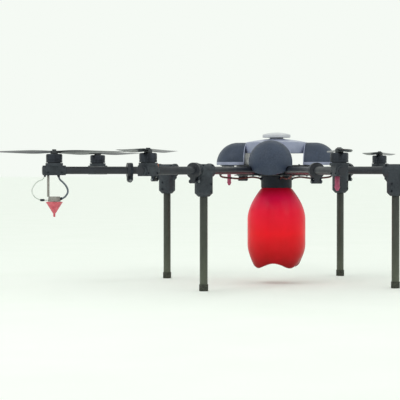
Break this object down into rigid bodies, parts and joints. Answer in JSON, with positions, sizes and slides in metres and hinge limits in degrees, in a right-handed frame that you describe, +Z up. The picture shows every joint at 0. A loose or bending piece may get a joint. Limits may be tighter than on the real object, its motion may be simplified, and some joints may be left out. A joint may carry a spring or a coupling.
{
  "type": "crop spraying multirotor drone",
  "caption": "Multirotor spraying drone with folding tube arms, domed grey cowling, red liquid tank slung under the hub, spray heads and tall tube legs.",
  "frame": {"origin": "on the ground under the axis of the hub", "axes": "+Z up, nose pod towards -Y, +X to the right of the front view"},
  "size_m": [2.1054, 2.1102, 0.567],
  "materials": {
    "carbon_tube": "pultruded carbon-fibre tube, satin lacquer",
    "carbon_plate": "woven carbon-fibre plate",
    "moulded_dark": "glass-filled nylon, fine grain",
    "anodised_dark": "black anodised",
    "steel": "stainless steel",
    "leg_tube": "satin carbon-fibre tube",
    "rubber_black": "matt rubber",
    "cowl_pale": "pale grey moulding",
    "cowl_dark": "dark grey moulding",
    "antenna_plastic": "matt pale grey",
    "electronics": "black case",
    "moulded_black": "black moulding",
    "pump_body": "black moulding",
    "hose_red": "red-brown silicone hose",
    "hose_dark": "grey hose",
    "battery_pack": "hard case",
    "tank_red": "blow-moulded polyethylene",
    "atomiser_metal": "bead-blasted",
    "cup_red": "moulded",
    "nozzle_red": "moulded",
    "motor_black": "black anodised",
    "prop_composite": "carbon and nylon"
  },
  "bodies": {
    "airframe": {"inner_arm_tubes": "carbon_tube", "leg_sockets": "moulded_dark", "fold_brackets": "anodised_dark", "hinge_pins": "steel", "leg_tubes": "leg_tube", "leg_feet": "rubber_black", "arm_root_clamps": "anodised_dark", "hub_plates": "carbon_plate", "hub_screws": "steel", "top_shell": "cowl_pale", "nose_pod": "cowl_dark", "side_caps": "cowl_dark", "gnss_antenna": "antenna_plastic", "flight_controller": "electronics", "tank_collar": "moulded_black", "pump": "pump_body", "hub_hoses": "hose_red"},
    "battery": {"battery": "battery_pack"},
    "tank": {"tank": "tank_red"},
    "tank_cap": {"tank_cap": "moulded_black"},
    "arm_1": {"outer_arm_1": "carbon_tube", "motor_mount_1": "moulded_dark", "right_atomiser": "atomiser_metal", "right_feed_hose": "hose_dark"},
    "rotor_1": {"motor_bell_1": "motor_black", "propeller_1": "prop_composite"},
    "arm_2": {"outer_arm_2": "carbon_tube", "motor_mount_2": "moulded_dark"},
    "rotor_2": {"motor_bell_2": "motor_black", "propeller_2": "prop_composite"},
    "arm_3": {"outer_arm_3": "carbon_tube", "motor_mount_3": "moulded_dark", "rear_nozzle": "nozzle_red"},
    "rotor_3": {"motor_bell_3": "motor_black", "propeller_3": "prop_composite"},
    "arm_4": {"outer_arm_4": "carbon_tube", "motor_mount_4": "moulded_dark"},
    "rotor_4": {"motor_bell_4": "motor_black", "propeller_4": "prop_composite"},
    "arm_5": {"outer_arm_5": "carbon_tube", "motor_mount_5": "moulded_dark", "left_atomiser": "atomiser_metal", "left_feed_hose": "hose_dark"},
    "rotor_5": {"motor_bell_5": "motor_black", "propeller_5": "prop_composite"},
    "arm_6": {"outer_arm_6": "carbon_tube", "motor_mount_6": "moulded_dark"},
    "rotor_6": {"motor_bell_6": "motor_black", "propeller_6": "prop_composite"},
    "arm_7": {"outer_arm_7": "carbon_tube", "motor_mount_7": "moulded_dark", "front_nozzle": "nozzle_red"},
    "rotor_7": {"motor_bell_7": "motor_black", "propeller_7": "prop_composite"},
    "arm_8": {"outer_arm_8": "carbon_tube", "motor_mount_8": "moulded_dark"},
    "rotor_8": {"motor_bell_8": "motor_black", "propeller_8": "prop_composite"},
    "right_cup": {"right_spray_cup": "cup_red"},
    "left_cup": {"left_spray_cup": "cup_red"}
  },
  "joints": [
    {"name": "arm_1_fold", "type": "hinge", "parent": "airframe", "child": "arm_1", "pos_m": [0.51737, 0.2143, 0.387], "axis": [-0.3827, 0.9239, 0], "range_deg": [0, 90]},
    {"name": "rotor_1_spin", "type": "hinge", "parent": "arm_1", "child": "rotor_1", "pos_m": [0.77606, 0.32145, 0.485], "axis": [0, 0, 1], "continuous": true},
    {"name": "arm_2_fold", "type": "hinge", "parent": "airframe", "child": "arm_2", "pos_m": [0.2143, 0.51737, 0.387], "axis": [-0.9239, 0.3827, 0], "range_deg": [0, 90]},
    {"name": "rotor_2_spin", "type": "hinge", "parent": "arm_2", "child": "rotor_2", "pos_m": [0.32145, 0.77606, 0.485], "axis": [0, 0, 1], "continuous": true},
    {"name": "arm_3_fold", "type": "hinge", "parent": "airframe", "child": "arm_3", "pos_m": [-0.2143, 0.51737, 0.387], "axis": [-0.9239, -0.3827, 0], "range_deg": [0, 90]},
    {"name": "rotor_3_spin", "type": "hinge", "parent": "arm_3", "child": "rotor_3", "pos_m": [-0.32145, 0.77606, 0.485], "axis": [0, 0, 1], "continuous": true},
    {"name": "arm_4_fold", "type": "hinge", "parent": "airframe", "child": "arm_4", "pos_m": [-0.51737, 0.2143, 0.387], "axis": [-0.3827, -0.9239, 0], "range_deg": [0, 90]},
    {"name": "rotor_4_spin", "type": "hinge", "parent": "arm_4", "child": "rotor_4", "pos_m": [-0.77606, 0.32145, 0.485], "axis": [0, 0, 1], "continuous": true},
    {"name": "arm_5_fold", "type": "hinge", "parent": "airframe", "child": "arm_5", "pos_m": [-0.51737, -0.2143, 0.387], "axis": [0.3827, -0.9239, 0], "range_deg": [0, 90]},
    {"name": "rotor_5_spin", "type": "hinge", "parent": "arm_5", "child": "rotor_5", "pos_m": [-0.77606, -0.32145, 0.485], "axis": [0, 0, 1], "continuous": true},
    {"name": "arm_6_fold", "type": "hinge", "parent": "airframe", "child": "arm_6", "pos_m": [-0.2143, -0.51737, 0.387], "axis": [0.9239, -0.3827, 0], "range_deg": [0, 90]},
    {"name": "rotor_6_spin", "type": "hinge", "parent": "arm_6", "child": "rotor_6", "pos_m": [-0.32145, -0.77606, 0.485], "axis": [0, 0, 1], "continuous": true},
    {"name": "arm_7_fold", "type": "hinge", "parent": "airframe", "child": "arm_7", "pos_m": [0.2143, -0.51737, 0.387], "axis": [0.9239, 0.3827, 0], "range_deg": [0, 90]},
    {"name": "rotor_7_spin", "type": "hinge", "parent": "arm_7", "child": "rotor_7", "pos_m": [0.32145, -0.77606, 0.485], "axis": [0, 0, 1], "continuous": true},
    {"name": "arm_8_fold", "type": "hinge", "parent": "airframe", "child": "arm_8", "pos_m": [0.51737, -0.2143, 0.387], "axis": [0.3827, 0.9239, 0], "range_deg": [0, 90]},
    {"name": "rotor_8_spin", "type": "hinge", "parent": "arm_8", "child": "rotor_8", "pos_m": [0.77606, -0.32145, 0.485], "axis": [0, 0, 1], "continuous": true},
    {"name": "right_cup_spin", "type": "hinge", "parent": "arm_1", "child": "right_cup", "pos_m": [0.77606, 0.32145, 0.295], "axis": [0, 0, 1], "continuous": true},
    {"name": "left_cup_spin", "type": "hinge", "parent": "arm_5", "child": "left_cup", "pos_m": [-0.77606, -0.32145, 0.295], "axis": [0, 0, 1], "continuous": true},
    {"name": "battery_slide", "type": "slide", "parent": "airframe", "child": "battery", "axis": [0, 1, 0], "range_m": [0, 0.18]},
    {"name": "tank_release", "type": "slide", "parent": "airframe", "child": "tank", "axis": [0, 0, -1], "range_m": [0, 0.05]},
    {"name": "tank_cap_lift", "type": "slide", "parent": "tank", "child": "tank_cap", "axis": [0, 0.866, 0.5], "range_m": [0, 0.03]}
  ]
}
